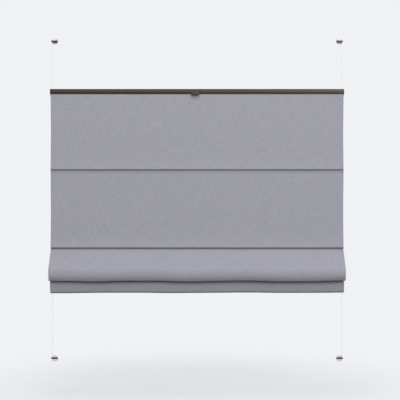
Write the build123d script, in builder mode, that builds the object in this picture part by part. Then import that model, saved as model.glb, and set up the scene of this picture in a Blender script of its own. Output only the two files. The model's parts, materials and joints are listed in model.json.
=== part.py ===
"""Clamp-on roman blind that hangs on two tension cords.

Millimetres, +X right, +Y backwards, +Z up. The origin is the centre of the four securing
screw holes, on the plane that the clamps' legs lie against, so the blind's front is at -Y.
"""

from build123d import *

import os

# What the four clamps grip: its height from edge to edge and the thickness of its lip
mount_height = 1194.0
mount_lip = 19.0

# The blind as a whole
blind_width = 1100.0
top_rail_drop = 183.0
cut_overrun = 1.0

# Tension cords
cord_diameter = 0.9
cord_gap = 8.0
cord_inset = 7.5
cord_clearance = 0.3
ferrule_wall = 1.1
ferrule_height = 3.0
ferrule_bore_clearance = 0.05
ferrule_pocket_clearance = 0.3

# Rails, one section for both
rail_height = 18.5
rail_depth = 20.0
rail_back_gap = 3.0
rail_wall = 1.2
rail_edge_radius = 0.8
rail_brow_height = 7.0
rail_brow_lean = 0.6
rail_chin_setback = 2.4
rail_divider = 0.9
cord_chamber_depth = 10.8
groove_inset = 5.0
groove_mouth = 2.0
groove_chamber_depth = 4.2
groove_chamber_height = 5.0

# Plastic strips that hold the fabric's edges in the grooves
strip_clearance = 0.2
strip_height = 4.4
strip_grip = 3.0

# End caps
cap_flange = 2.0
cap_plug_length = 10.0
cap_plug_clearance = 0.15
cap_tail_height = 9.0
cap_tail_depth = 9.0

# Handle on the top rail
handle_width = 30.0
handle_offset = -7.0
handle_reach = 17.0
handle_lip = 1.6
handle_root_rise = 3.2
handle_root_thickness = 2.4
handle_tip_drop = 2.2
handle_radius = 0.6

# Fabric
fabric_thickness = 1.0
fabric_side_gap = 2.0
first_panel_height = 282.0
panel_height = 292.0
hem_turn_radius = 1.0
neck_gap = 0.4
layer_spare = 0.1
fold_seam_drop = 0.5

# Rods in the fabric's pockets
rod_diameter = 4.0
rod_end_gap = 4.0
rod_clearance = 0.4
rod_rise = 7.5
rod_three_drop = 28.0
pinched_loop_rise = 4.4
bottom_rail_drop = 6.5

# Guides that keep the rods on the cords
guide_length = 8.0
guide_wall = 1.3
guide_fit = 0.05
guide_edge_radius = 0.6
guide_notch_gap = 1.5

# Front fold
front_fold_drop = 122.5
front_fold_reach = 60.0
front_fold_back_gap = 12.0
front_fold_start_drop = 11.5
front_fold_shoulder_radius = 45.0
front_fold_start_radius = 14.0
front_fold_back_sheet_gap = 9.0

# Back fold
back_fold_drop = 167.5
back_fold_front_reach = 13.3
back_fold_rear_reach = 3.0
back_fold_sheet_gap = 1.3
back_fold_bend_radius = 60.0
back_fold_turn_share = 0.47

# Clamps
clamp_width = 19.0
clamp_inset = 15.2
clamp_leg_height = 12.0
clamp_leg_thickness = 2.0
clamp_depth = 13.0
clamp_height = 8.6
clamp_reach = 10.0
clamp_front_wall = 4.0
clamp_roof = 1.4
clamp_edge_chamfer = 2.2
clamp_edge_radius = 0.5
securing_hole_diameter = 3.4
securing_hole_rise = 3.0

# Hooks behind the mount's lip
hook_width = 12.0
hook_thickness = 1.5
hook_leg_height = 9.0
hook_start = 1.0
hook_tab_height = 6.8
hook_side_clearance = 0.3
hook_lift = 0.2
hook_bend_radius = 0.6

# Clamp screws
screw_diameter = 4.0
screw_height = 4.5
screw_length = 19.0
screw_head_diameter = 6.0
screw_head_height = 2.5
screw_head_clearance = 0.2
screw_bore_clearance = 0.15
screw_thread_clearance = 0.05
screw_end_float = 0.1
screw_socket_width = 3.0
screw_socket_depth = 1.6
screw_collar_diameter = 5.0
screw_collar_length = 0.8

# Tension shoes
shoe_width = 23.6
shoe_height = 5.6
shoe_corner_radius = 2.0
shoe_edge_radius = 0.8
peg_diameter = 2.4
peg_length = 3.0
peg_clearance = 0.05
peg_spread = 16.0
peg_gap = 2.2

# Heights and depths that several pieces share
mount_edge = mount_height / 2
cord_x = blind_width / 2 - cord_inset
cord_y = -cord_gap
cord_radius = cord_diameter / 2
cord_bore_radius = cord_radius + cord_clearance
rail_half_length = blind_width / 2 - cap_flange
rail_back = -rail_back_gap
rail_front = -(rail_back_gap + rail_depth)
top_rail_top = mount_edge - top_rail_drop
fabric_y = rail_front + groove_inset
half_cloth = fabric_thickness / 2
fabric_half_width = blind_width / 2 - fabric_side_gap
lip_one = top_rail_top - rail_height - first_panel_height
lip_two = lip_one - panel_height
loop_radius = rod_diameter / 2 + rod_clearance + half_cloth
tuck_y = fabric_y + 2 * hem_turn_radius + layer_spare
loop_back_y = tuck_y + 2 * loop_radius + layer_spare
rod_y = (tuck_y + loop_back_y) / 2
neck_y = tuck_y + fabric_thickness + neck_gap
rod_one = lip_one + rod_rise
rod_two = lip_two + rod_rise
rod_three = rod_two - rod_three_drop
bottom_rail_top = rod_three - bottom_rail_drop
clamp_x = blind_width / 2 - clamp_inset
ferrule_radius = cord_radius + ferrule_wall
pocket_depth = ferrule_height + ferrule_pocket_clearance
sides = {"left": -1, "right": 1}
levels = {"top": 1, "bottom": -1}

os.makedirs("parts", exist_ok=True)


def box_between(low, high, mode=Mode.ADD):
    """A box between two opposite corners."""
    a, b = Vector(*low), Vector(*high)
    with Locations((a + b) / 2):
        Box(abs(b.X - a.X), abs(b.Y - a.Y), abs(b.Z - a.Z), mode=mode)


def rod_between(start, end, radius, mode=Mode.ADD):
    """A round bar, or a bore, from one point to another."""
    a, b = Vector(*start), Vector(*end)
    with Locations(Plane(origin=(a + b) / 2, z_dir=b - a)):
        Cylinder(radius, (b - a).length, mode=mode)


def save(piece, label):
    """Name a finished piece and write its STEP file."""
    piece.part.label = label
    export_step(piece.part, f"parts/{label}.step")


# Clamps: body, hook, screw, tension shoe and cord ferrule at each corner
screw_radius = screw_diameter / 2
wall_back = -clamp_depth + clamp_front_wall
head_seat = -clamp_depth + screw_head_height + screw_end_float
cavity_half = hook_width / 2 + hook_side_clearance

for level, up in levels.items():
    outermost, innermost = (-1, 0) if up > 0 else (0, -1)
    edge = up * mount_edge
    roof = edge + up * clamp_height
    screw_z = edge + up * screw_height
    leg_end = edge - up * clamp_leg_height
    hole_z = leg_end + up * securing_hole_rise
    for side, out in sides.items():
        corner = f"{level}_{side}"
        x = out * clamp_x
        peg_y = -clamp_leg_thickness - peg_gap
        peg_xs = [x - peg_spread / 2, x + peg_spread / 2]

        with BuildPart() as clamp_body:
            with BuildSketch(Plane.YZ.offset(x)):
                with BuildLine():
                    Polyline(
                        (0, edge),
                        (0, leg_end),
                        (-clamp_leg_thickness, leg_end),
                        (-clamp_leg_thickness, edge),
                        (-clamp_depth, edge),
                        (-clamp_depth, roof),
                        (clamp_reach, roof),
                        (clamp_reach, edge),
                        close=True,
                    )
                make_face()
            extrude(amount=clamp_width / 2, both=True)
            roof_face = clamp_body.faces().filter_by(Axis.Z).sort_by(Axis.Z)[outermost]
            chamfer(roof_face.edges().filter_by(Axis.Y), clamp_edge_chamfer)
            roof_face = clamp_body.faces().filter_by(Axis.Z).sort_by(Axis.Z)[outermost]
            fillet(roof_face.edges().filter_by(Axis.X), clamp_edge_radius)
            box_between(
                (x - cavity_half, wall_back, edge - up * cut_overrun),
                (x + cavity_half, clamp_reach + cut_overrun, roof - up * clamp_roof),
                mode=Mode.SUBTRACT,
            )
            box_between(
                (x - cavity_half, -clamp_leg_thickness, edge),
                (x + cavity_half, 0, leg_end + up * securing_hole_diameter),
            )
            rod_between(
                (x, wall_back + cut_overrun, screw_z),
                (x, -clamp_depth - cut_overrun, screw_z),
                screw_radius + screw_bore_clearance,
                mode=Mode.SUBTRACT,
            )
            rod_between(
                (x, head_seat, screw_z),
                (x, -clamp_depth - cut_overrun, screw_z),
                screw_head_diameter / 2 + screw_head_clearance,
                mode=Mode.SUBTRACT,
            )
            rod_between(
                (x, cut_overrun, hole_z),
                (x, -clamp_leg_thickness - cut_overrun, hole_z),
                securing_hole_diameter / 2,
                mode=Mode.SUBTRACT,
            )
            for peg_x in peg_xs:
                rod_between(
                    (peg_x, peg_y, edge),
                    (peg_x, peg_y, edge - up * peg_length),
                    peg_diameter / 2,
                )
        save(clamp_body, f"clamp_body_{corner}")

        hook_low = edge + up * hook_lift
        hook_high = hook_low + up * hook_thickness
        hook_back = mount_lip + hook_thickness
        with BuildPart() as clamp_hook:
            with BuildSketch(Plane.YZ.offset(x)):
                with BuildLine():
                    Polyline(
                        (hook_start, hook_low),
                        (mount_lip, hook_low),
                        (mount_lip, hook_low - up * hook_leg_height),
                        (hook_back, hook_low - up * hook_leg_height),
                        (hook_back, hook_high),
                        (hook_start + hook_thickness, hook_high),
                        (hook_start + hook_thickness, hook_low + up * hook_tab_height),
                        (hook_start, hook_low + up * hook_tab_height),
                        close=True,
                    )
                make_face()
            extrude(amount=hook_width / 2, both=True)
            rear_edges = clamp_hook.edges().filter_by(Axis.X).group_by(Axis.Y)[-1]
            fillet(rear_edges.sort_by(Axis.Z)[outermost], hook_bend_radius)
            rod_between(
                (x, hook_start - cut_overrun, screw_z),
                (x, hook_start + hook_thickness + cut_overrun, screw_z),
                screw_radius + screw_thread_clearance,
                mode=Mode.SUBTRACT,
            )
        save(clamp_hook, f"clamp_hook_{corner}")

        collar_start = wall_back + screw_end_float
        with BuildPart() as clamp_screw:
            rod_between((x, head_seat, screw_z), (x, head_seat + screw_length, screw_z), screw_radius)
            rod_between(
                (x, head_seat - screw_end_float, screw_z),
                (x, -clamp_depth, screw_z),
                screw_head_diameter / 2,
            )
            rod_between(
                (x, head_seat - screw_end_float, screw_z),
                (x, head_seat, screw_z),
                screw_radius,
            )
            rod_between(
                (x, collar_start, screw_z),
                (x, collar_start + screw_collar_length, screw_z),
                screw_collar_diameter / 2,
            )
            with BuildSketch(Plane(origin=(x, -clamp_depth, screw_z), x_dir=(1, 0, 0), z_dir=(0, 1, 0))):
                RegularPolygon(screw_socket_width / 2, side_count=6, major_radius=False)
            extrude(amount=screw_socket_depth, mode=Mode.SUBTRACT)
        save(clamp_screw, f"clamp_screw_{corner}")

        cord_line = out * cord_x
        with BuildPart() as tension_shoe:
            box_between(
                (x - shoe_width / 2, -clamp_depth, edge - up * shoe_height),
                (x + shoe_width / 2, -clamp_leg_thickness, edge),
            )
            fillet(
                tension_shoe.edges().filter_by(Axis.Z).group_by(Axis.Y)[0],
                shoe_corner_radius,
            )
            inner_face = tension_shoe.faces().filter_by(Axis.Z).sort_by(Axis.Z)[innermost]
            fillet(inner_face.edges().group_by(Axis.Y)[0], shoe_edge_radius)
            rod_between(
                (cord_line, cord_y, edge - up * (shoe_height + cut_overrun)),
                (cord_line, cord_y, edge),
                cord_bore_radius,
                mode=Mode.SUBTRACT,
            )
            rod_between(
                (cord_line, cord_y, edge - up * pocket_depth),
                (cord_line, cord_y, edge + up * cut_overrun),
                ferrule_radius + ferrule_pocket_clearance,
                mode=Mode.SUBTRACT,
            )
            for peg_x in peg_xs:
                rod_between(
                    (peg_x, peg_y, edge - up * (peg_length + peg_clearance)),
                    (peg_x, peg_y, edge + up * cut_overrun),
                    peg_diameter / 2 + peg_clearance,
                    mode=Mode.SUBTRACT,
                )
        save(tension_shoe, f"tension_shoe_{corner}")

        ferrule_end = edge - up * pocket_depth
        with BuildPart() as cord_ferrule:
            rod_between(
                (cord_line, cord_y, ferrule_end),
                (cord_line, cord_y, ferrule_end + up * ferrule_height),
                ferrule_radius,
            )
            rod_between(
                (cord_line, cord_y, ferrule_end - up * cut_overrun),
                (cord_line, cord_y, edge + up * cut_overrun),
                cord_radius + ferrule_bore_clearance,
                mode=Mode.SUBTRACT,
            )
        save(cord_ferrule, f"cord_ferrule_{corner}")

# Tension cords, taut from the upper shoes to the lower ones
cord_end = mount_edge - pocket_depth + ferrule_height
for side, out in sides.items():
    with BuildPart() as tension_cord:
        rod_between(
            (out * cord_x, cord_y, -cord_end),
            (out * cord_x, cord_y, cord_end),
            cord_radius,
        )
    save(tension_cord, f"tension_cord_{side}")


# Rails: one extruded section, closed at the ends by caps that ride on the cords
def rail_outline(top):
    """Outer section of a rail, depth by height, whose upper face is at this height."""
    bottom = top - rail_height
    with BuildSketch() as outline:
        with BuildLine():
            Polyline(
                (rail_back, top),
                (rail_back, bottom),
                (rail_front + rail_chin_setback, bottom),
                (rail_front, bottom + rail_brow_height),
                (rail_front + rail_brow_lean, top),
                close=True,
            )
        make_face()
        fillet(outline.vertices(), rail_edge_radius)
    return outline.sketch


chamber_back = rail_back - rail_wall
chamber_front = chamber_back - cord_chamber_depth
groove_front = fabric_y - groove_chamber_depth / 2
groove_back = fabric_y + groove_chamber_depth / 2
strip_half_depth = groove_chamber_depth / 2 - strip_clearance
mouth_front = fabric_y - groove_mouth / 2
mouth_back = fabric_y + groove_mouth / 2
nose_front = rail_front + 2 * rail_wall
nose_back = chamber_front - rail_divider

for level, top in {"top": top_rail_top, "bottom": bottom_rail_top}.items():
    bottom = top - rail_height
    groove_floor = bottom + rail_wall + strip_clearance
    groove_roof = groove_floor + groove_chamber_height
    strip_bottom = groove_floor + strip_clearance
    section = rail_outline(top)
    cord_run_z = (top + bottom) / 2

    with BuildPart() as rail:
        with BuildSketch(Plane.YZ):
            add(section)
            hollows = [
                (chamber_front, bottom + rail_wall, chamber_back, top - rail_wall),
                (groove_front, groove_floor, groove_back, groove_roof),
                (mouth_front, bottom - cut_overrun, mouth_back, groove_roof),
                (nose_front, groove_roof + rail_wall, nose_back, top - rail_wall),
            ]
            for y0, z0, y1, z1 in hollows:
                with Locations(((y0 + y1) / 2, (z0 + z1) / 2)):
                    Rectangle(y1 - y0, z1 - z0, mode=Mode.SUBTRACT)
        extrude(amount=rail_half_length, both=True)
        for out in sides.values():
            rod_between(
                (out * cord_x, cord_y, bottom - cut_overrun),
                (out * cord_x, cord_y, top + cut_overrun),
                cord_bore_radius,
                mode=Mode.SUBTRACT,
            )
    save(rail, f"{level}_rail")

    for side, out in sides.items():
        rail_end = out * rail_half_length
        plug_end = rail_end - out * cap_plug_length
        plug_inset = rail_wall + cap_plug_clearance
        with BuildPart() as end_cap:
            with BuildSketch(Plane.YZ.offset(rail_end)):
                add(section)
                if level == "top":
                    with Locations((cord_y - rail_wall, bottom)):
                        Rectangle(cap_tail_depth, 2 * cap_tail_height)
            extrude(amount=out * cap_flange)
            box_between(
                (plug_end, chamber_front + cap_plug_clearance, bottom + plug_inset),
                (rail_end, chamber_back - cap_plug_clearance, top - plug_inset),
            )
            rod_between(
                (out * cord_x, cord_y, bottom - cut_overrun),
                (out * cord_x, cord_y, top + cut_overrun),
                cord_bore_radius,
                mode=Mode.SUBTRACT,
            )
            rod_between(
                (plug_end - out * cut_overrun, cord_y, cord_run_z),
                (out * cord_x, cord_y, cord_run_z),
                cord_bore_radius,
                mode=Mode.SUBTRACT,
            )
        save(end_cap, f"{level}_end_cap_{side}")

    run_end = cord_x - cord_radius - cord_clearance
    with BuildPart() as cord_run:
        rod_between((-run_end, cord_y, cord_run_z), (run_end, cord_y, cord_run_z), cord_radius)
    save(cord_run, f"{level}_cord_run")

    with BuildPart() as fabric_strip:
        box_between(
            (-fabric_half_width, fabric_y - strip_half_depth, strip_bottom),
            (fabric_half_width, fabric_y + strip_half_depth, strip_bottom + strip_height),
        )
        box_between(
            (-blind_width, fabric_y - half_cloth, strip_bottom - cut_overrun),
            (blind_width, fabric_y + half_cloth, strip_bottom + strip_grip),
            mode=Mode.SUBTRACT,
        )
    save(fabric_strip, f"{level}_fabric_strip")

# Handle: a pull lip that sits on the top rail's lower front
chin_z = top_rail_top - rail_height
brow_z = chin_z + rail_brow_height
with BuildPart() as handle:
    with BuildSketch(Plane.YZ.offset(handle_offset)):
        with BuildLine():
            root = (rail_front, brow_z)
            Line((rail_front, brow_z + handle_root_rise), root)
            Line(root, (rail_front + rail_chin_setback, chin_z))
            tip_low = (rail_front - handle_reach, chin_z - handle_tip_drop)
            tip_high = (rail_front - handle_reach, chin_z - handle_tip_drop + handle_lip)
            ThreePointArc(
                (rail_front + rail_chin_setback, chin_z),
                (rail_front - handle_reach / 2, chin_z + handle_lip),
                tip_low,
            )
            Line(tip_low, tip_high)
            ThreePointArc(
                tip_high,
                (rail_front - handle_reach / 2, chin_z + handle_lip + handle_root_thickness),
                (rail_front, brow_z + handle_root_rise),
            )
        make_face()
    extrude(amount=handle_width / 2, both=True)
    tip_edges = handle.edges().filter_by(Axis.Z, reverse=True).group_by(Axis.Y)[0]
    fillet(tip_edges, handle_radius)
save(handle, "top_rail_handle")


# Cloth: one ribbon in two lengths, pocketed round three rods and folded twice before the bottom rail
def pocket_points(lip):
    """Route of the cloth round a rod: under the lip, up, over the rod and back to the neck."""
    rod = lip + rod_rise
    return [
        (fabric_y, lip + half_cloth),
        (tuck_y, lip + half_cloth),
        (tuck_y, rod + loop_radius),
        (loop_back_y, rod + loop_radius),
        (loop_back_y, rod - loop_radius),
        (neck_y, lip + half_cloth),
    ]


def cloth_face(points, radii, shift):
    """Corners and radii of one face of the cloth, beside its route by the given shift."""
    runs = [(Vector(*b) - Vector(*a)).normalized() for a, b in zip(points, points[1:])]
    lefts = [Vector(-run.Y, run.X) for run in runs]
    corners = [Vector(*points[0]) + lefts[0] * shift]
    for point, before, after in zip(points[1:-1], lefts, lefts[1:]):
        corners.append(Vector(*point) + (before + after) * (shift / (1 + before.dot(after))))
    corners.append(Vector(*points[-1]) + lefts[-1] * shift)
    turns = [1 if before.cross(after).Z > 0 else -1 for before, after in zip(runs, runs[1:])]
    return corners, [radius - turn * shift for radius, turn in zip(radii, turns)]


seam = (neck_y, lip_two - fold_seam_drop)
groove_depth = rail_wall + 2 * strip_clearance + strip_grip
pocket_radii = 2 * [hem_turn_radius] + 3 * [loop_radius] + [hem_turn_radius]

# Upper cloth: down from the top rail, round the first two rods and on to the seam behind the second lip
panel_route = [(fabric_y, top_rail_top - rail_height + groove_depth)]
panel_route += pocket_points(lip_one) + pocket_points(lip_two) + [seam]
panel_radii = 2 * pocket_radii

# Front fold: forward from the seam, round the bottom and up behind
fold_front_y = fabric_y - front_fold_reach
fold_back_y = fabric_y - front_fold_back_gap
fold_bottom = lip_two - front_fold_drop + half_cloth
fold_turn_radius = (fold_back_y - fold_front_y) / 2 - layer_spare
slope_start_z = lip_two - front_fold_start_drop
slope_end_z = slope_start_z + fold_front_y - neck_y
back_sheet_y = fabric_y - front_fold_back_sheet_gap
fold_route = [
    seam,
    (neck_y, slope_start_z),
    (fold_front_y, slope_end_z),
    (fold_front_y, fold_bottom),
    (fold_back_y, fold_bottom),
    (back_sheet_y, rod_three - bottom_rail_drop),
]
fold_radii = [front_fold_start_radius, front_fold_shoulder_radius]
fold_radii += [fold_turn_radius, fold_turn_radius, rod_diameter]

# Pocket of the third rod, pinched shut in front of it
pinch_y = fabric_y - half_cloth
pinch_half = half_cloth + neck_gap / 2
fold_route += [
    (pinch_y, rod_three + pinch_half),
    (loop_back_y, rod_three + pinched_loop_rise),
    (loop_back_y, rod_three - pinched_loop_rise),
    (pinch_y, rod_three - pinch_half),
]
fold_radii += [rod_diameter, loop_radius - layer_spare, loop_radius - layer_spare, rod_diameter]

# Back fold: down in front of the bottom rail, round and up into its groove
front_sheet_y = rail_front - back_fold_sheet_gap
loop_low_y = fabric_y - back_fold_front_reach
rise_y = fabric_y + back_fold_rear_reach
rise_bottom = lip_two - back_fold_drop + half_cloth
low_turn_radius = (rise_y - loop_low_y) * back_fold_turn_share
groove_entry = bottom_rail_top - rail_height
fold_route += [
    (front_sheet_y, bottom_rail_top),
    (front_sheet_y, groove_entry),
    (loop_low_y, rise_bottom),
    (rise_y, rise_bottom),
    (fabric_y, groove_entry - rail_height),
    (fabric_y, groove_entry + groove_depth),
]
fold_radii += [rod_diameter, back_fold_bend_radius]
fold_radii += [low_turn_radius, low_turn_radius, back_fold_bend_radius]

cloths = {
    "shade_panels": (panel_route, panel_radii, [rod_one, rod_two]),
    "shade_folds": (fold_route, fold_radii, [rod_three]),
}
notch_start = cord_x - guide_length / 2 - guide_notch_gap
notch_front = tuck_y - half_cloth - neck_gap
for name, (points, radii, rods) in cloths.items():
    back_corners, back_radii = cloth_face(points, radii, half_cloth)
    front_corners, front_radii = cloth_face(points, radii, -half_cloth)
    with BuildPart() as shade_cloth:
        with BuildSketch(Plane.YZ):
            with BuildLine():
                back_face = FilletPolyline(*back_corners, radius=back_radii)
                front_face = FilletPolyline(*front_corners, radius=front_radii)
                Line(back_face @ 0, front_face @ 0)
                Line(back_face @ 1, front_face @ 1)
            make_face()
        extrude(amount=fabric_half_width, both=True)
        for rod in rods:
            for out in sides.values():
                notch_low = rod - loop_radius - half_cloth
                notch_high = rod + loop_radius + fabric_thickness
                box_between(
                    (out * notch_start, notch_front, notch_low),
                    (out * blind_width, loop_back_y + cut_overrun, notch_high),
                    mode=Mode.SUBTRACT,
                )
    save(shade_cloth, name)

# Rods and the guides that hold their ends to the cords
rod_half_length = blind_width / 2 - rod_end_gap
rod_radius = rod_diameter / 2
guide_half_height = rod_radius + guide_wall
guide_back = cord_y + cord_bore_radius + guide_wall
for number, rod in {"one": rod_one, "two": rod_two, "three": rod_three}.items():
    with BuildPart() as fold_rod:
        rod_between((-rod_half_length, rod_y, rod), (rod_half_length, rod_y, rod), rod_radius)
    save(fold_rod, f"fold_rod_{number}")

    for side, out in sides.items():
        x = out * cord_x
        with BuildPart() as rod_guide:
            box_between(
                (x - guide_length / 2, rod_y - guide_half_height, rod - guide_half_height),
                (x + guide_length / 2, guide_back, rod + guide_half_height),
            )
            fillet(rod_guide.edges().filter_by(Axis.X), guide_edge_radius)
            rod_between(
                (x - guide_length, rod_y, rod),
                (x + guide_length, rod_y, rod),
                rod_radius + guide_fit,
                mode=Mode.SUBTRACT,
            )
            rod_between(
                (x, cord_y, rod - guide_length),
                (x, cord_y, rod + guide_length),
                cord_bore_radius,
                mode=Mode.SUBTRACT,
            )
        save(rod_guide, f"rod_guide_{number}_{side}")
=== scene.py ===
# %% [markdown]
# # A roman blind on tension cords
# The solids of the rails, clamps, cords and rods come from CAD and are loaded as a fixed frame.
# This lesson gives them their finishes and replaces the stiff cloth by a soft one. All sizes are in
# metres, the front of the blind faces -Y, and nothing that is loaded gets moved.

import json
import math

import bmesh
import bpy
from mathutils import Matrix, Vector


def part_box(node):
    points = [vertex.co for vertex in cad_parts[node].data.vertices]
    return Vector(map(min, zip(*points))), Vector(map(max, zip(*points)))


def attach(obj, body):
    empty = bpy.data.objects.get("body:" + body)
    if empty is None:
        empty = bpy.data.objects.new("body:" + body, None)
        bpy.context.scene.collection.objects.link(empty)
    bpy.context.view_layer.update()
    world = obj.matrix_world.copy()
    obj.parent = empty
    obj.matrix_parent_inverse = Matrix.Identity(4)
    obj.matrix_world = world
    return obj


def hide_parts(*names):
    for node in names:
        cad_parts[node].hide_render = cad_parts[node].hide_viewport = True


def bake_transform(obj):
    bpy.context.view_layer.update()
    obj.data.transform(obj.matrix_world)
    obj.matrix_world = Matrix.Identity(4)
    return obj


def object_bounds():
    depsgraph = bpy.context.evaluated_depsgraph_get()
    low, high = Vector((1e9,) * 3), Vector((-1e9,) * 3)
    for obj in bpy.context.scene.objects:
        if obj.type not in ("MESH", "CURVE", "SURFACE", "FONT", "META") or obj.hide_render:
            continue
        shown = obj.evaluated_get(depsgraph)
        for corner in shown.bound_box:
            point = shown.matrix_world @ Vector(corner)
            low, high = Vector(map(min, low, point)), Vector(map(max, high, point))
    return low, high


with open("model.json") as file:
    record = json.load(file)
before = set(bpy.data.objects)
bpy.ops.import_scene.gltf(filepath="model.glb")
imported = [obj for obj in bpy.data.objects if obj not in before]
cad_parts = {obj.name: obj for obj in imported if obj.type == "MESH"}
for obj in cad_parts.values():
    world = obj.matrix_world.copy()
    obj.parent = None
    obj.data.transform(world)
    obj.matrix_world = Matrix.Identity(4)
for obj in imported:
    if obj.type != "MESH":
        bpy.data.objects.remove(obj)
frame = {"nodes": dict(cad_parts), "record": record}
cad_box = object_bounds()
nodes = frame["nodes"]

# %% [markdown]
# ## Camera
# The picture is a front view from a little under four metres away. How far the front fold seems to
# widen beside the flat panels tells that distance. A pixel of the picture is a fixed length on the
# cloth, and that length sets the lens.

# %% Camera at the photograph's place
image_side_px = 400
metres_per_pixel = 0.0037415
blind_centre_px = (197.05, 199.75)
camera_distance = 3.7
sensor_width_mm = 36

cloth_low, cloth_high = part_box("shade_panels")
picture_width = image_side_px * metres_per_pixel
off_centre = [(image_side_px / 2 - at) * metres_per_pixel for at in blind_centre_px]

camera = bpy.data.objects.new("camera", bpy.data.cameras.new("camera"))
camera.data.sensor_width = sensor_width_mm
camera.data.lens = sensor_width_mm * camera_distance / picture_width
camera.location = (off_centre[0], cloth_low.y - camera_distance, -off_centre[1])
camera.rotation_euler = (math.pi / 2, 0, 0)
bpy.context.scene.collection.objects.link(camera)
bpy.context.scene.camera = camera
bpy.context.scene.view_settings.view_transform = "Standard"
print("camera:", round(camera.data.lens, 1), "mm lens at", [round(c, 3) for c in camera.location])

# %% [markdown]
# ## Studio
# The light in the picture is soft. It comes from the front and from above, so that what faces down
# is darker. The world gives the fill, more from above than from below. The camera sees a pale
# backdrop in place of the world's own light, and so do shiny surfaces, so that metal does not turn
# black.

# %% World
backdrop_colour = (0.87, 0.885, 0.91, 1)
fill_from_below = 0.0
fill_from_above = 0.46


def add(tree, kind, **settings):
    """A new node in a node tree, with its own settings."""
    made = tree.nodes.new(kind)
    for name, value in settings.items():
        setattr(made, name, value)
    return made


def looked_at(tree):
    """A socket that is 1 for what the camera sees, directly, mirrored or through plastic."""
    rays = add(tree, "ShaderNodeLightPath")
    mirrored = add(tree, "ShaderNodeMath", operation="MAXIMUM")
    through = add(tree, "ShaderNodeMath", operation="MAXIMUM")
    tree.links.new(rays.outputs["Is Camera Ray"], mirrored.inputs[0])
    tree.links.new(rays.outputs["Is Glossy Ray"], mirrored.inputs[1])
    tree.links.new(mirrored.outputs[0], through.inputs[0])
    tree.links.new(rays.outputs["Is Transmission Ray"], through.inputs[1])
    return through.outputs[0]


world = bpy.data.worlds.new("studio")
bpy.context.scene.world = world
world.use_nodes = True
sky = world.node_tree
sky.nodes.clear()
direction = add(sky, "ShaderNodeSeparateXYZ")
fill = add(sky, "ShaderNodeMapRange")
ambient = add(sky, "ShaderNodeBackground")
backdrop = add(sky, "ShaderNodeBackground")
either = add(sky, "ShaderNodeMixShader")
fill.inputs["From Min"].default_value = -1
fill.inputs["To Min"].default_value = fill_from_below
fill.inputs["To Max"].default_value = fill_from_above
ambient.inputs["Color"].default_value = (1, 1, 1, 1)
backdrop.inputs["Color"].default_value = backdrop_colour
sky.links.new(add(sky, "ShaderNodeTexCoord").outputs["Generated"], direction.inputs[0])
sky.links.new(direction.outputs["Z"], fill.inputs["Value"])
sky.links.new(fill.outputs["Result"], ambient.inputs["Strength"])
sky.links.new(looked_at(sky), either.inputs[0])
sky.links.new(ambient.outputs[0], either.inputs[1])
sky.links.new(backdrop.outputs[0], either.inputs[2])
sky.links.new(either.outputs[0], add(sky, "ShaderNodeOutputWorld").inputs["Surface"])
print("fill:", fill_from_below, "from below to", fill_from_above, "from above")

# %% [markdown]
# A wide blind needs light that is as strong at its left end as at its right end. A near lamp fades
# across it, and a sun doesn't, so the lamps in front and behind are suns whose wide angle makes
# them soft. The rear one keeps the rear side readable and is left out of reflections, so that no
# rail gleams along its top. The lamp above is near and square, and makes the upper panel a little
# brighter than the lower one. A weak one at the right lights the ends, and a near one beside it
# shows in reflections alone, so that the rails are brighter towards their right ends.

# %% Lamps
sun_distance = 4


def aim(name, data, azimuth, elevation, distance):
    """Place a lamp and aim it at the blind, by degrees to the right of the front and upwards."""
    a, e = math.radians(azimuth), math.radians(elevation)
    towards = Vector((math.sin(a) * math.cos(e), -math.cos(a) * math.cos(e), math.sin(e)))
    made = bpy.data.objects.new(name, data)
    made.location = towards * distance
    made.rotation_euler = towards.to_track_quat("Z", "Y").to_euler()
    bpy.context.scene.collection.objects.link(made)
    return made


def soft_sun(name, azimuth, elevation, spread, share):
    """A sun whose light is a share of what makes white cloth white."""
    data = bpy.data.lights.new(name, "SUN")
    data.angle = math.radians(spread)
    data.energy = share * math.pi
    return aim(name, data, azimuth, elevation, sun_distance)


def square_lamp(name, azimuth, elevation, distance, size, share):
    """A square lamp whose share is measured in the same way, at the blind's middle."""
    data = bpy.data.lights.new(name, "AREA")
    data.size = size
    data.energy = share * (math.pi * distance) ** 2
    return aim(name, data, azimuth, elevation, distance)


soft_sun("front_light", azimuth=6, elevation=19, spread=28, share=0.575)
rear_light = soft_sun("rear_light", azimuth=200, elevation=30, spread=30, share=0.66)
rear_light.visible_glossy = False
square_lamp("top_light", azimuth=-6, elevation=46, distance=2.3, size=0.65, share=0.21)
square_lamp("right_light", azimuth=62, elevation=18, distance=2.2, size=0.9, share=0.07)
rail_light = square_lamp("rail_light", azimuth=44, elevation=16, distance=1.3, size=0.5, share=0.65)
rail_light.visible_diffuse = False
print("lamps:", [lamp.name for lamp in bpy.data.lights])

# %% [markdown]
# The floor is a pale disc below the blind. It fades out towards its rim, so that no edge of it
# shows in any view. The camera sees it pale, while light that bounces from it up to the blind meets
# a darker floor, so that what faces down stays as dark as in the picture. From below the disc is
# clear and hides nothing.

# %% Floor
floor_drop = 0.2
floor_radius = 1.7
floor_fade_start = 0.45
floor_seen = (0.81, 0.82, 0.84, 1)
floor_bounce = (0.03, 0.03, 0.03, 1)
floor_roughness = 0.9

floor_height = cad_box[0].z - floor_drop
disc = bmesh.new()
bmesh.ops.create_circle(disc, cap_ends=True, segments=96, radius=floor_radius)
bmesh.ops.translate(disc, verts=disc.verts, vec=(0, 0, floor_height))
floor_mesh = bpy.data.meshes.new("floor")
disc.to_mesh(floor_mesh)
disc.free()
floor = bpy.data.objects.new("floor", floor_mesh)
bpy.context.scene.collection.objects.link(floor)

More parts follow.
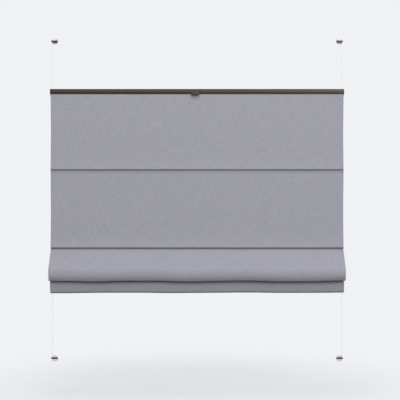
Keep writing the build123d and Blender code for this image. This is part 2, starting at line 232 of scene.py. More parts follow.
floor_finish = bpy.data.materials.new("pale_floor")
floor_finish.use_nodes = True
tree = floor_finish.node_tree
surface = tree.nodes["Principled BSDF"]
surface.inputs["Roughness"].default_value = floor_roughness
tone = add(tree, "ShaderNodeMix", data_type="RGBA")
tone.inputs[6].default_value = floor_bounce
tone.inputs[7].default_value = floor_seen
tree.links.new(looked_at(tree), tone.inputs[0])
tree.links.new(tone.outputs[2], surface.inputs["Base Color"])
place = add(tree, "ShaderNodeTexCoord")
flat_place = add(tree, "ShaderNodeVectorMath", operation="MULTIPLY")
flat_place.inputs[1].default_value = (1, 1, 0)
far_out = add(tree, "ShaderNodeVectorMath", operation="LENGTH")
fade = add(tree, "ShaderNodeMapRange", interpolation_type="SMOOTHSTEP")
fade.inputs["From Min"].default_value = floor_fade_start
fade.inputs["From Max"].default_value = floor_radius
fade.inputs["To Max"].default_value = 0
upper_side = add(tree, "ShaderNodeMath", operation="SUBTRACT")
upper_side.inputs[0].default_value = 1
tree.links.new(add(tree, "ShaderNodeNewGeometry").outputs["Backfacing"], upper_side.inputs[1])
tree.links.new(upper_side.outputs[0], fade.inputs["To Min"])
tree.links.new(place.outputs["Object"], flat_place.inputs[0])
tree.links.new(flat_place.outputs[0], far_out.inputs[0])
tree.links.new(far_out.outputs["Value"], fade.inputs["Value"])
tree.links.new(fade.outputs["Result"], surface.inputs["Alpha"])
floor_mesh.materials.append(floor_finish)
print("floor at", round(floor_height, 3))

# %% [markdown]
# ## Shared effects
# Four effects turn up in more than one finish: the fine grain of moulded plastic, the lines that
# drawing leaves on metal and glass fibre, dust that settles on what faces up, and edges that
# handling has rubbed, which on the bronze parts are also a painted highlight. Each is a node group
# with named sockets, built once. A small helper makes a group with its sockets.


# %% Helper for node groups
def effect(name, inputs, outputs):
    """A shader node group with float or vector inputs and float outputs."""
    group = bpy.data.node_groups.new(name, "ShaderNodeTree")
    for socket, value in inputs.items():
        kind = "NodeSocketFloat" if isinstance(value, (int, float)) else "NodeSocketVector"
        made = group.interface.new_socket(socket, in_out="INPUT", socket_type=kind)
        made.default_value = value
    for socket in outputs:
        group.interface.new_socket(socket, in_out="OUTPUT", socket_type="NodeSocketFloat")
    return group, group.nodes.new("NodeGroupInput"), group.nodes.new("NodeGroupOutput")


def noise(tree, vector, detail):
    """A noise texture at scale 1 that reads a vector socket."""
    made = add(tree, "ShaderNodeTexNoise")
    made.inputs["Scale"].default_value = 1
    made.inputs["Detail"].default_value = detail
    tree.links.new(vector, made.inputs["Vector"])
    return made.outputs["Fac"]


def scaled(tree, vector, factor):
    """A vector socket times a vector, or times a vector socket."""
    made = add(tree, "ShaderNodeVectorMath", operation="MULTIPLY")
    tree.links.new(vector, made.inputs[0])
    if isinstance(factor, bpy.types.NodeSocket):
        tree.links.new(factor, made.inputs[1])
    else:
        made.inputs[1].default_value = factor
    return made.outputs[0]


print("helpers: effect, noise, scaled")

# %% [markdown]
# Moulded plastic has an even, very fine grain, and larger soft patches where the mould was more or
# less polished.

# %% Moulded grain
grains_per_metre = (2600, 2600, 2600)
polish_per_metre = (90, 90, 90)

moulded_grain, entry, leave = effect(
    "moulded_grain", {"Grains": grains_per_metre}, ["Height", "Patch"])
place = add(moulded_grain, "ShaderNodeTexCoord").outputs["Object"]
grains = scaled(moulded_grain, place, entry.outputs["Grains"])
polish = scaled(moulded_grain, place, polish_per_metre)
moulded_grain.links.new(noise(moulded_grain, grains, 2), leave.inputs["Height"])
moulded_grain.links.new(noise(moulded_grain, polish, 3), leave.inputs["Patch"])
print("effect:", moulded_grain.name)

# %% [markdown]
# Extruded rails, pulled rods and rolled strip all carry long fine lines. Noise that is squeezed
# across the part and stretched along it gives them, and the input says how many lines fit in a
# metre in each direction.

# %% Drawn lines
lines_per_metre = (3, 2200, 2200)
streaks_per_line = (0.5, 0.2, 0.2)

drawn_lines, entry, leave = effect(
    "drawn_lines", {"Lines": lines_per_metre}, ["Height", "Streak"])
place = add(drawn_lines, "ShaderNodeTexCoord").outputs["Object"]
lines = scaled(drawn_lines, place, entry.outputs["Lines"])
streaks = scaled(drawn_lines, lines, streaks_per_line)
drawn_lines.links.new(noise(drawn_lines, lines, 2), leave.inputs["Height"])
drawn_lines.links.new(noise(drawn_lines, streaks, 3), leave.inputs["Streak"])
print("effect:", drawn_lines.name)

# %% [markdown]
# Dust lies only where a surface faces up. The mask is the upward part of the surface's own normal,
# broken up by a cloudy noise, so it is the same from every side.

# %% Settled dust
steepest_with_dust = 0.55
dust_clouds_per_metre = (140, 140, 140)

settled_dust, entry, leave = effect("settled_dust", {"Amount": 0.2}, ["Mask"])
split = add(settled_dust, "ShaderNodeSeparateXYZ")
upward = add(settled_dust, "ShaderNodeMapRange", interpolation_type="SMOOTHSTEP")
upward.inputs["From Min"].default_value = steepest_with_dust
place = add(settled_dust, "ShaderNodeTexCoord").outputs["Object"]
clouds = noise(settled_dust, scaled(settled_dust, place, dust_clouds_per_metre), 4)
patchy = add(settled_dust, "ShaderNodeMath", operation="MULTIPLY")
dusty = add(settled_dust, "ShaderNodeMath", operation="MULTIPLY")
true_normal = add(settled_dust, "ShaderNodeNewGeometry").outputs["Normal"]
settled_dust.links.new(true_normal, split.inputs[0])
settled_dust.links.new(split.outputs["Z"], upward.inputs["Value"])
settled_dust.links.new(upward.outputs["Result"], patchy.inputs[0])
settled_dust.links.new(clouds, patchy.inputs[1])
settled_dust.links.new(patchy.outputs[0], dusty.inputs[0])
settled_dust.links.new(entry.outputs["Amount"], dusty.inputs[1])
settled_dust.links.new(dusty.outputs[0], leave.inputs["Mask"])
print("effect:", settled_dust.name)

# %% [markdown]
# Handling polishes the outer edges of painted and moulded parts. On the bronze parts the lighter
# edge tone is partly this wear and partly a painted highlight. A Bevel node gives the normal that a
# rounded edge would have. Where it leaves the true normal, there is an edge, and noise breaks the
# line up.

# %% Edge wear and painted edge highlight
agreement_off_edges = 0.985
agreement_on_edges = 0.80
edge_marks_per_metre = (210, 210, 210)

edge_wear_and_highlight, entry, leave = effect("edge_wear_and_highlight", {"Width": 0.0006}, ["Mask"])
rounded = add(edge_wear_and_highlight, "ShaderNodeBevel", samples=6)
agreement = add(edge_wear_and_highlight, "ShaderNodeVectorMath", operation="DOT_PRODUCT")
edge = add(edge_wear_and_highlight, "ShaderNodeMapRange", interpolation_type="SMOOTHSTEP")
edge.inputs["From Min"].default_value = agreement_off_edges
edge.inputs["From Max"].default_value = agreement_on_edges
place = add(edge_wear_and_highlight, "ShaderNodeTexCoord").outputs["Object"]
edge_marks = noise(edge_wear_and_highlight, scaled(edge_wear_and_highlight, place, edge_marks_per_metre), 3)
broken = add(edge_wear_and_highlight, "ShaderNodeMath", operation="MULTIPLY")
edge_wear_and_highlight.links.new(entry.outputs["Width"], rounded.inputs["Radius"])
edge_wear_and_highlight.links.new(rounded.outputs["Normal"], agreement.inputs[0])
true_normal = add(edge_wear_and_highlight, "ShaderNodeNewGeometry").outputs["Normal"]
edge_wear_and_highlight.links.new(true_normal, agreement.inputs[1])
edge_wear_and_highlight.links.new(agreement.outputs["Value"], edge.inputs["Value"])
edge_wear_and_highlight.links.new(edge.outputs["Result"], broken.inputs[0])
edge_wear_and_highlight.links.new(edge_marks, broken.inputs[1])
edge_wear_and_highlight.links.new(broken.outputs[0], leave.inputs["Mask"])
print("effect:", edge_wear_and_highlight.name)

# %% [markdown]
# ## Finishes
# Every finish is a Principled BSDF whose colour moves a little between two tones, whose roughness
# moves between two values, and whose bump comes from one of the effects. One function wires those
# three, and each finish then only states its own tones, values and scale. A noise rarely reaches
# its ends, so its middle part is spread out first.

# %% Helper for finishes
noise_low, noise_high = 0.3, 0.7
dust_tone = (0.62, 0.6, 0.57)


def blend_tones(tree, factor, tones):
    """A colour socket between two tones, steered by a factor socket."""
    made = add(tree, "ShaderNodeMix", data_type="RGBA")
    tree.links.new(factor, made.inputs[0])
    for index, tone in zip((6, 7), tones):
        if isinstance(tone, bpy.types.NodeSocket):
            tree.links.new(tone, made.inputs[index])
        else:
            made.inputs[index].default_value = (*tone, 1)
    return made.outputs[2]


def between(tree, factor, low, high):
    """A value socket between two values, steered by a noise socket."""
    made = add(tree, "ShaderNodeMapRange")
    made.inputs["From Min"].default_value = noise_low
    made.inputs["From Max"].default_value = noise_high
    made.inputs["To Min"].default_value = low
    made.inputs["To Max"].default_value = high
    tree.links.new(factor, made.inputs["Value"])
    return made.outputs["Result"]


def finish(name, group, scale, tones, roughness, relief, dust=0.0, edge_wear_and_highlight_tone=None):
    """A material whose colour, roughness and bump follow one shared effect."""
    made = bpy.data.materials.new(name)
    made.use_nodes = True
    tree = made.node_tree
    surface = tree.nodes["Principled BSDF"]
    pattern = add(tree, "ShaderNodeGroup", node_tree=group)
    pattern.inputs[0].default_value = scale
    colour = blend_tones(tree, between(tree, pattern.outputs[1], 0, 1), tones)
    if edge_wear_and_highlight_tone:
        edge_marks = add(tree, "ShaderNodeGroup", node_tree=edge_wear_and_highlight)
        colour = blend_tones(tree, edge_marks.outputs["Mask"], (colour, edge_wear_and_highlight_tone))
    if dust:
        settled = add(tree, "ShaderNodeGroup", node_tree=settled_dust)
        settled.inputs["Amount"].default_value = dust
        colour = blend_tones(tree, settled.outputs["Mask"], (colour, dust_tone))
    bump = add(tree, "ShaderNodeBump")
    bump.inputs["Distance"].default_value = relief
    tree.links.new(colour, surface.inputs["Base Color"])
    tree.links.new(between(tree, pattern.outputs[1], *roughness), surface.inputs["Roughness"])
    tree.links.new(pattern.outputs[0], bump.inputs["Height"])
    tree.links.new(bump.outputs["Normal"], surface.inputs["Normal"])
    return made


print("helpers: blend_tones, between, finish")

# %% [markdown]
# The rails are bronze anodised aluminium: a dark brown metal with a satin sheen and fine lines
# along the rail. The caps, the handle and the tension shoes are moulded to match, a little darker
# and without the metal's sheen.

# %% Bronze metal and bronze plastic
# The lighter edge tones of the two bronze finishes are partly wear and partly a painted highlight.
bronze_metal = finish("bronze_anodised", drawn_lines, lines_per_metre,
                      tones=((0.030, 0.021, 0.014), (0.043, 0.031, 0.023)),
                      roughness=(0.5, 0.62), relief=0.00002, dust=0.2, edge_wear_and_highlight_tone=(0.15, 0.12, 0.095))
bronze_surface = bronze_metal.node_tree.nodes["Principled BSDF"]
bronze_surface.inputs["Metallic"].default_value = 0.6
bronze_surface.inputs["Specular IOR Level"].default_value = 0.3
bronze_plastic = finish("bronze_moulding", moulded_grain, grains_per_metre,
                        tones=((0.034, 0.023, 0.018), (0.044, 0.031, 0.025)),
                        roughness=(0.45, 0.58), relief=0.00004, dust=0.1, edge_wear_and_highlight_tone=(0.10, 0.078, 0.062))
bronze_plastic.node_tree.nodes["Principled BSDF"].inputs["Specular IOR Level"].default_value = 0.3
print("finishes:", bronze_metal.name, bronze_plastic.name)

# %% [markdown]
# The clamps are white mouldings. Hooks, screws and ferrules are zinc plated steel, which is dull
# grey, slightly cloudy and lined by rolling. The rods are pulled glass fibre, the small guides on
# their ends are milky clear plastic, and the cords are white twisted fibre.

# %% White plastic, zinc, glass fibre, milky plastic and cord fibre
clamp_white = finish("clamp_white", moulded_grain, (2200, 2200, 2200),
                     tones=((0.72, 0.725, 0.735), (0.77, 0.775, 0.785)),
                     roughness=(0.46, 0.58), relief=0.00004, dust=0.18, edge_wear_and_highlight_tone=(0.62, 0.61, 0.59))
clamp_white.node_tree.nodes["Principled BSDF"].inputs["Specular IOR Level"].default_value = 0.3
zinc_plate = finish("zinc_plate", drawn_lines, (1600, 40, 1600),
                    tones=((0.37, 0.378, 0.392), (0.47, 0.478, 0.492)),
                    roughness=(0.54, 0.66), relief=0.00002)
zinc_plate.node_tree.nodes["Principled BSDF"].inputs["Metallic"].default_value = 1
glass_fibre = finish("glass_fibre", drawn_lines, (5, 3000, 3000),
                     tones=((0.62, 0.60, 0.54), (0.74, 0.72, 0.66)),
                     roughness=(0.3, 0.45), relief=0.00003)
milky_plastic = finish("milky_plastic", moulded_grain, (1800, 1800, 1800),
                       tones=((0.76, 0.79, 0.82), (0.84, 0.86, 0.88)),
                       roughness=(0.22, 0.32), relief=0.00002)
milky = milky_plastic.node_tree.nodes["Principled BSDF"]
milky.inputs["Transmission Weight"].default_value = 0.3
milky.inputs["IOR"].default_value = 1.46
cord_fibre = finish("cord_fibre", drawn_lines, (2500, 2500, 900),
                    tones=((0.70, 0.70, 0.70), (0.84, 0.84, 0.83)),
                    roughness=(0.6, 0.8), relief=0.00008)
print("finishes:", clamp_white.name, zinc_plate.name, glass_fibre.name,
      milky_plastic.name, cord_fibre.name)

# %% [markdown]
# The CAD solids whose shape is right stay as they are and only change their material. The record
# names a finish slot for every node, and a table from slot to material dresses each node whose slot
# it lists.

# %% Dress the CAD solids
dressing = {
    "bronze_aluminium": bronze_metal,
    "bronze_plastic": bronze_plastic,
    "clamp_white": clamp_white,
    "zinc_steel": zinc_plate,
    "rod_fibreglass": glass_fibre,
    "clear_plastic": milky_plastic,
    "cord_white": cord_fibre,
}
slot_of = {part["node"]: part["material_slot"] for part in frame["record"]["subparts"]}
for name, solid in nodes.items():
    if slot_of[name] in dressing:
        solid.data.materials.clear()
        solid.data.materials.append(dressing[slot_of[name]])
print("dressed:", sum(slot in dressing for slot in slot_of.values()), "of", len(nodes))

# %% [markdown]
# ## Tension cords
# Two thin cords run straight from clamp to clamp and carry the whole blind. Each is one smooth
# curve with a round bevel. It goes from its ferrule in the upper shoe to the one in the lower shoe,
# and is pulled taut.

# %% Cords from shoe to shoe
for side in ("left", "right"):
    low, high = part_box(f"tension_cord_{side}")
    at_x, at_y = (low.x + high.x) / 2, (low.y + high.y) / 2
    strand = bpy.data.curves.new(f"taut_cord_{side}", "CURVE")
    strand.dimensions = "3D"
    strand.bevel_depth = (high.x - low.x) / 2
    strand.bevel_resolution = 3
    strand.use_fill_caps = True
    line = strand.splines.new("NURBS")
    line.points.add(2)
    for point, z in zip(line.points, (high.z, 0, low.z)):
        point.co = (at_x, at_y, z, 1)
    line.order_u = 3
    line.use_endpoint_u = True
    strand.materials.append(cord_fibre)
    cord = bpy.data.objects.new(f"taut_cord_{side}", strand)
    bpy.context.scene.collection.objects.link(cord)
    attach(cord, "brackets")
    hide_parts(f"tension_cord_{side}")
    print(cord.name, round(high.z - low.z, 4), "m long,",
          round(1000 * (high.x - low.x), 2), "mm thick")

# %% [markdown]
# ## Cloth
# The blind's cloth is one sheet. It leaves the top rail, hangs flat, is tucked round a rod behind a
# small lip, hangs flat again to a second rod, and is then stacked in two soft folds before it ends
# in the bottom rail. A cloth simulation would need the whole pull-up to be acted out. The line that
# the cloth follows from the side is known, so it is drawn once as a wire with rounded corners and
# swept across the width. Rods and rails give the places. Each corner of the line has a depth, a
# height and the radius of its bend.

# %% The line that the cloth follows
cloth_thickness = 0.001
loop_radius = 0.0029
hem_radius = 0.0013
tuck_gap = 0.0021
lip_below_rod = 0.0078
lip_flare = 0.0034
flare_height = 0.030
flare_radius = 0.35
seam_gap = 0.0035
seam_rise = 0.0012
seam_radius = 0.0015
neck_drop = 0.0055
neck_radius = 0.006


def middle(node):
    """Centre of a CAD node's box."""
    low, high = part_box(node)
    return (low + high) / 2


base_low, base_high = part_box("bottom_rail")
folds_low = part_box("shade_folds")[0]
face = cloth_low.y + cloth_thickness / 2
tuck = face + tuck_gap
back = 2 * middle("fold_rod_one").y - tuck
seam = face + seam_gap


def pocket(rod):
    """Corners (y, z, radius) of the cloth round a rod, from the flare above to the seam below."""
    lip = rod.z - lip_below_rod
    return [
        (face, lip + flare_height, flare_radius),
        (face - lip_flare, lip, hem_radius),
        (tuck, lip, hem_radius),
        (tuck, rod.z + loop_radius, loop_radius),
        (back, rod.z + loop_radius, loop_radius),
        (back, rod.z - loop_radius, loop_radius),
        (seam, lip + seam_rise, seam_radius),
    ]


rods = [middle(f"fold_rod_{number}") for number in ("one", "two", "three")]
route = [(face, cloth_high.z, 0)]
route += pocket(rods[0])
route += [(face, rods[0].z - lip_below_rod - neck_drop, neck_radius)]
route += pocket(rods[1])
print("cloth line:", len(route), "corners down to the second rod")

# %% [markdown]
# Below the second lip the cloth swings forward and hangs as a full round fold. Its lower end is
# blunt: it slants from the front edge back to the toe and then rises behind.

# %% Front fold
start_drop, start_bend = 0.0150, 0.008
slope_drop, slope_bend = 0.0870, 0.025
edge_rise, edge_bend = 0.0190, 0.034
fold_drop = 0.1310
toe_depth, toe_bend = 0.0120, 0.0065
heel_rise, heel_bend = 0.0120, 0.0120
top_bend = 0.030
strip_stand = 0.0160
ply_gap = 0.0014

fold_front = folds_low.y + cloth_thickness / 2
fold_bottom = rods[1].z - fold_drop
strip_front = face - strip_stand
fold_back = strip_front - ply_gap

route += [
    (seam, rods[1].z - start_drop, start_bend),
    (fold_front, rods[1].z - slope_drop, slope_bend),
    (fold_front, fold_bottom + edge_rise, edge_bend),
    (fold_front + toe_depth, fold_bottom, toe_bend),
    (fold_back, fold_bottom + heel_rise, heel_bend),
    (fold_back, base_low.z, top_bend),
]
print("cloth line:", len(route), "corners, front fold down to", round(fold_bottom, 4))

# %% [markdown]
# Behind the front fold the third rod's pocket is pinched shut. A flatter fold follows, which hangs
# in front of the bottom rail, turns and rises into the rail's groove.

# %% Third rod and back fold
front_ply_stand, front_ply_bend = 0.0040, 0.012
rear_ply_stand, rear_ply_bend = 0.0013, 0.004
pinch_stand, pinch_bend = 0.0005, 0.004
pinch = 0.0007
pinched_loop, pinched_bend = 0.0044, 0.0028
strip_drop, strip_bend = 0.0040, 0.030
hem_sink = 0.0022
hem_front_rise, hem_front_bend = 0.0320, 0.050
hem_toe_depth, hem_toe_bend = 0.0050, 0.0110
hem_heel_depth, hem_heel_bend = 0.0030, 0.0030
hem_back_drop, hem_back_bend = 0.0185, 0.060
groove_depth = 0.0046

hem_bottom = folds_low.z + cloth_thickness / 2 - hem_sink
route += [
    (base_low.y - front_ply_stand, base_high.z, front_ply_bend),
    (face - pinch_stand, rods[2].z + pinch, pinch_bend),
    (back, rods[2].z + pinched_loop, pinched_bend),
    (back, rods[2].z - pinched_loop, pinched_bend),
    (face - pinch_stand, rods[2].z - pinch, pinch_bend),
    (base_low.y - rear_ply_stand, base_high.z, rear_ply_bend),
    (strip_front, base_low.z - strip_drop, strip_bend),
    (strip_front, hem_bottom + hem_front_rise, hem_front_bend),
    (strip_front + hem_toe_depth, hem_bottom, hem_toe_bend),
    (face + hem_heel_depth, hem_bottom, hem_heel_bend),
    (face, base_low.z - hem_back_drop, hem_back_bend),
    (face, base_low.z + groove_depth, 0),
]
print("cloth line:", len(route), "corners, folds down to", round(hem_bottom, 4))

# %% [markdown]
# A vertex bevel on a bare wire rounds its corners. The bevel wants the distance along the edges,
# which follows from the radius and from how far the wire turns. Long straight runs are then
# divided, so that the cloth can sway.

# %% Round the wire
longest_step = 0.012
tight_radius = 0.002
tight_segments = 4
wide_segments = 8

wire = bmesh.new()
corners = [wire.verts.new((0, y, z)) for y, z, radius in route]
for pair in zip(corners, corners[1:]):
    wire.edges.new(pair)
bends = []
for before, corner, after, (y, z, radius) in zip(corners, corners[1:], corners[2:], route[1:]):
    turn = (corner.co - before.co).angle(after.co - corner.co)
    segments = tight_segments if radius < tight_radius else wide_segments
    bends.append((corner, radius * math.tan(turn / 2), segments))
for corner, offset, segments in bends:
    bmesh.ops.bevel(wire, geom=[corner], offset=offset, offset_type="OFFSET", segments=segments,
                    profile=0.5, affect="VERTICES", clamp_overlap=False, material=-1)
for edge in wire.edges[:]:
    cuts = int(edge.calc_length() / longest_step)
    if cuts:
        bmesh.ops.subdivide_edges(wire, edges=[edge], cuts=cuts)
print("wire:", len(wire.verts), "points")

# %% [markdown]
# Walking down the wire gives every point its distance from the top edge of the cloth. The number is
# kept in a layer, which the sweep copies to each column. It becomes the cloth's own map, so that
# the weave follows the folds. The two turns and the seams are then found by their height and depth.

# %% Measure along the wire
seam_height = 0.0015
seam_depth = 0.0005

along = wire.verts.layers.float.new("along")
point = max((v for v in wire.verts if len(v.link_edges) == 1), key=lambda v: v.co.z)
walked, length, edge = [point], 0.0, None
while True:
    onward = [e for e in point.link_edges if e is not edge]
    if not onward:
        break
    edge = onward[0]
    length += edge.calc_length()
    point = edge.other_vert(point)
    point[along] = length
    walked.append(point)
lowest_front = min((v for v in walked if v.co.y < fold_back), key=lambda v: v.co.z)
lowest_back = min(walked, key=lambda v: v.co.z)
seams_at = []
for rod in rods[:2]:
    seam_top = rod.z - lip_below_rod + seam_height
    in_seam = [v for v in walked if v.co.z < seam_top and v.co.y > tuck + seam_depth]
    seams_at.append(in_seam[0][along])
first_seam_at, second_seam_at = seams_at
front_turn_at, back_turn_at = lowest_front[along], lowest_back[along]

# %% [markdown]
# A spin without an angle is a sweep: each step copies the wire one column on. The pockets are cut
# away at their ends, where the guides sit on the rods.

# %% Sweep the wire across the width
columns = 110
guide_gap = 0.0015
notch_half_height = 0.0048
notch_front_gap = 0.0009
half_width = cloth_high.x
guide_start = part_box("rod_guide_one_right")[0].x - guide_gap

bmesh.ops.translate(wire, verts=wire.verts, vec=(-half_width, 0, 0))
bmesh.ops.spin(wire, geom=wire.edges[:], cent=(0, 0, 0), axis=(1, 0, 0), angle=0,
               steps=columns, dvec=(2 * half_width / columns, 0, 0), use_duplicate=False)
notches = []
for panel in wire.faces:
    at = panel.calc_center_median()
    near_rod = any(abs(at.z - rod.z) < notch_half_height for rod in rods)
    if abs(at.x) > guide_start and near_rod and at.y > tuck - notch_front_gap:
        notches.append(panel)
bmesh.ops.delete(wire, geom=notches, context="FACES")
print("sheet:", len(wire.faces), "faces,", len(notches), "cut away at the guides")

# %% [markdown]
# Real folds are never quite even. The lower edges in the picture rise and fall by about two
# millimetres, so a slow ripple lifts the cloth round each turn, more at the turn and nothing at the
# rods, and the hem tilts a little as well. Each wave is a pair: where its crest is across the
# width, and its length. The flat panels get a trace of it, and their side edges draw in a little
# between the rods. The map of the cloth is written first, from width and length in metres, because
# the weave moves with the cloth.

# %% Let the folds sway
fold_ripple = 0.0017
fold_reach = 0.12
fold_wave = (-0.019, 0.374)
hem_ripple = 0.6 * fold_ripple
hem_reach = 0.11
hem_wave = (-0.064, 0.45)
hem_tilt = 1.2
bulge = 0.0022
bulge_rise = 0.04
bulge_reach = 0.09
bulge_wave = (0.11, 0.29)
panel_sway = 0.0004
panel_wave = (0.2, 0.31)
second_wave_share = 0.2
second_wave_rate = 2.3
second_wave_shift = 1.1
waist = 0.0020
crease_shade_reach = 0.0135


def ripple(x, crest, wavelength):
    """A slow wave across the width, with a weaker and shorter one on top."""
    turn = 2 * math.pi * (x - crest) / wavelength
    second = math.cos(second_wave_rate * turn + second_wave_shift)
    return (1 - second_wave_share) * math.cos(turn) + second_wave_share * second


def nearness(at, centre, reach):
    """1 at the centre, easing to 0 at that distance along the cloth."""
    share = min(1, abs(at - centre) / reach)
    return (1 + math.cos(math.pi * share)) / 2


weave_map = wire.loops.layers.uv.new("weave")
for panel in wire.faces:
    panel.smooth = True
    for corner in panel.loops:
        corner[weave_map].uv = (corner.vert.co.x, corner.vert[along])

# Painted shade: this layer is 1 at each seam under a lip and eases to 0 along the cloth, and the
# cloth's finish darkens its colour by it.
crease_shade = wire.verts.layers.float.new("crease_shade")
for v in wire.verts:
    x, at = v.co.x, v[along]
    front = nearness(at, front_turn_at, fold_reach)
    rear = nearness(at, back_turn_at, hem_reach)
    v.co.z -= fold_ripple * front * ripple(x, *fold_wave)
    v.co.z -= hem_ripple * rear * (ripple(x, *hem_wave) - hem_tilt * x)
    swell = bulge * front * nearness(at, front_turn_at - bulge_rise, bulge_reach)
    v.co.y += swell * ripple(x, *bulge_wave)
    v[crease_shade] = max(nearness(at, seam_at, crease_shade_reach) for seam_at in seams_at)
    if at < second_seam_at:
        start, end = (0, first_seam_at) if at < first_seam_at else seams_at
        middle_share = math.sin(math.pi * (at - start) / (end - start)) ** 2
        v.co.y += panel_sway * ripple(x, *panel_wave) * middle_share
        v.co.x -= x * waist * middle_share
print("ripple: up to", round(fold_ripple * 1000, 1), "mm at the folds")

# %% [markdown]
# The cloth's outer edges are marked sharp, so that the cut edge is not shaded as if it were round.
# Then the mesh is made, and a Solidify modifier gives the sheet its thickness on both sides of the
# line.

# %% Make the cloth
bmesh.ops.recalc_face_normals(wire, faces=wire.faces)
for edge in wire.edges:
    edge.smooth = not edge.is_boundary
cloth_mesh = bpy.data.meshes.new("shade_cloth")
wire.to_mesh(cloth_mesh)
wire.free()
cloth = bpy.data.objects.new("shade_cloth", cloth_mesh)
bpy.context.scene.collection.objects.link(cloth)
thickness = cloth.modifiers.new("thickness", "SOLIDIFY")
thickness.thickness = cloth_thickness
thickness.offset = 0
print("cloth:", len(cloth_mesh.polygons), "faces on one side")

# %% [markdown]
# When the bottom rail is let down, the front fold opens and its cloth is shared out evenly between
# the second rod and the third. Here the folded sheet is laid out flat, as it was cut, while its
# transform is baked, and then put back in its folds. The CAD cloth is hidden.

# %% Lay the cloth out flat and back
count = len(cloth_mesh.vertices)
folded = [0.0] * (3 * count)
lengths = [0.0] * count
cloth_mesh.vertices.foreach_get("co", folded)
cloth_mesh.attributes["along"].data.foreach_get("value", lengths)
laid_out = folded[:]
laid_out[1::3] = [0.0] * count
laid_out[2::3] = [-at for at in lengths]
cloth_mesh.vertices.foreach_set("co", laid_out)
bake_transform(cloth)
cloth_mesh.vertices.foreach_set("co", folded)
cloth_mesh.update()
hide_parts("shade_panels", "shade_folds")

# %% [markdown]
# ## Stitches
# A sewn line closes each rod's pocket below the rod. From behind, its stitches show on the cloth.
# One stitch is a small sphere, stretched along the seam and then repeated by a spin that
# duplicates, so a whole row is one light mesh. It stops a stitch short of the guides.

# %% Stitch rows behind the pockets
stitch_pitch = 0.0036
stitch_length = 0.0027
thread_radius = 0.0003
stitch_copies = int(2 * guide_start / stitch_pitch) - 2

stitch_rows = []
for number, rod in zip(("one", "two"), rods):
    sewn = bmesh.new()
    bmesh.ops.create_icosphere(sewn, subdivisions=1, radius=thread_radius)
    bmesh.ops.scale(sewn, verts=sewn.verts, vec=(stitch_length / (2 * thread_radius), 1, 1))
    seam_place = (stitch_pitch - guide_start, seam + cloth_thickness / 2,
                  rod.z - lip_below_rod + seam_rise)
    bmesh.ops.translate(sewn, verts=sewn.verts, vec=seam_place)
    one_stitch = sewn.verts[:] + sewn.edges[:] + sewn.faces[:]
    bmesh.ops.spin(sewn, geom=one_stitch, cent=(0, 0, 0), axis=(1, 0, 0), angle=0,
                   steps=stitch_copies, dvec=(stitch_pitch, 0, 0), use_duplicate=True)
    for side in sewn.faces:
        side.smooth = True
    row_mesh = bpy.data.meshes.new(f"stitches_{number}")
    sewn.to_mesh(row_mesh)
    sewn.free()
    row = bpy.data.objects.new(f"stitches_{number}", row_mesh)
    bpy.context.scene.collection.objects.link(row)
    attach(row, "curtain")
    stitch_rows.append(row)
print("stitches:", [len(row.data.polygons) for row in stitch_rows], "faces")

# %% [markdown]

# %% [markdown]
# The cloth is a plain weave of grey-lilac yarn. Sines across the map give the over and under of the
# threads, and stretched noise in both directions gives the thicker and thinner yarns that make the
# cloth look fine and uneven.

# %% Weave effect
threads_per_metre = 1400.0
weft_yarns_per_metre = (30, 500, 1)
warp_yarns_per_metre = (500, 30, 1)

plain_weave, entry, leave = effect(
    "plain_weave", {"Threads": threads_per_metre}, ["Height", "Yarn"])
cloth_map = add(plain_weave, "ShaderNodeUVMap", uv_map="weave").outputs["UV"]
split = add(plain_weave, "ShaderNodeSeparateXYZ")
plain_weave.links.new(cloth_map, split.inputs[0])
crossings = []
for axis in ("X", "Y"):
    count_threads = add(plain_weave, "ShaderNodeMath", operation="MULTIPLY")
    half_turns = add(plain_weave, "ShaderNodeMath", operation="MULTIPLY")
    half_turns.inputs[1].default_value = math.pi
    wave = add(plain_weave, "ShaderNodeMath", operation="SINE")
    plain_weave.links.new(split.outputs[axis], count_threads.inputs[0])
    plain_weave.links.new(entry.outputs["Threads"], count_threads.inputs[1])
    plain_weave.links.new(count_threads.outputs[0], half_turns.inputs[0])
    plain_weave.links.new(half_turns.outputs[0], wave.inputs[0])
    crossings.append(wave.outputs[0])
over_under = add(plain_weave, "ShaderNodeMath", operation="MULTIPLY")
for index, wave in enumerate(crossings):
    plain_weave.links.new(wave, over_under.inputs[index])
weft = noise(plain_weave, scaled(plain_weave, cloth_map, weft_yarns_per_metre), 3)
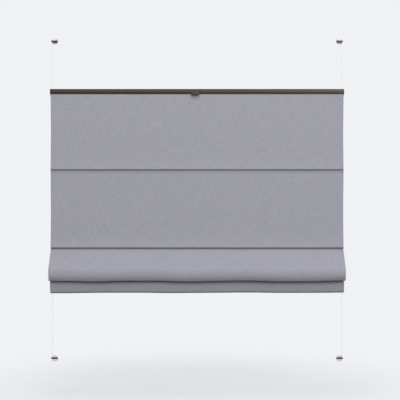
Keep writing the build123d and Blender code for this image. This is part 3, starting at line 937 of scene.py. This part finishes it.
warp = noise(plain_weave, scaled(plain_weave, cloth_map, warp_yarns_per_metre), 3)
yarns = add(plain_weave, "ShaderNodeMath", operation="ADD")
mean_yarn = add(plain_weave, "ShaderNodeMath", operation="MULTIPLY")
mean_yarn.inputs[1].default_value = 0.5
plain_weave.links.new(weft, yarns.inputs[0])
plain_weave.links.new(warp, yarns.inputs[1])
plain_weave.links.new(yarns.outputs[0], mean_yarn.inputs[0])
plain_weave.links.new(over_under.outputs[0], leave.inputs["Height"])
plain_weave.links.new(mean_yarn.outputs[0], leave.inputs["Yarn"])
print("effect:", plain_weave.name, "with", round(threads_per_metre), "threads per metre")

# %% [markdown]
# The cloth's finish takes its colour and bump from the weave. In the tucks under the lips the
# colour is darkened by the number that each point of the cloth carries: this is painted shade,
# which deepens the shadow there.

# %% Cloth finish
crease_shade_tone = (0.07, 0.07, 0.082)
grey_cloth = finish("grey_lilac_cloth", plain_weave, threads_per_metre,
                    tones=((0.305, 0.305, 0.352), (0.405, 0.405, 0.462)),
                    roughness=(0.86, 0.94), relief=0.00012)
cloth_surface = grey_cloth.node_tree.nodes["Principled BSDF"]
cloth_surface.inputs["Sheen Weight"].default_value = 0.12
cloth_surface.inputs["Sheen Roughness"].default_value = 0.5
cloth_surface.inputs["Specular IOR Level"].default_value = 0.2
tree = grey_cloth.node_tree
# Painted shade: under the lips the colour is darkened towards a dark tone, by the layer set on the
# cloth.
unshaded_colour = cloth_surface.inputs["Base Color"].links[0].from_socket
painted_tuck_shade = add(tree, "ShaderNodeAttribute", attribute_name="crease_shade")
crease_shaded_colour = blend_tones(tree, painted_tuck_shade.outputs["Fac"], (unshaded_colour, crease_shade_tone))
tree.links.new(crease_shaded_colour, cloth_surface.inputs["Base Color"])
cloth_mesh.materials.append(grey_cloth)
thread = finish("sewing_thread", drawn_lines, (4000, 900, 900),
                tones=((0.27, 0.27, 0.32), (0.36, 0.36, 0.42)),
                roughness=(0.6, 0.8), relief=0.00004)
for row in stitch_rows:
    row.data.materials.append(thread)
print("finishes:", grey_cloth.name, thread.name)
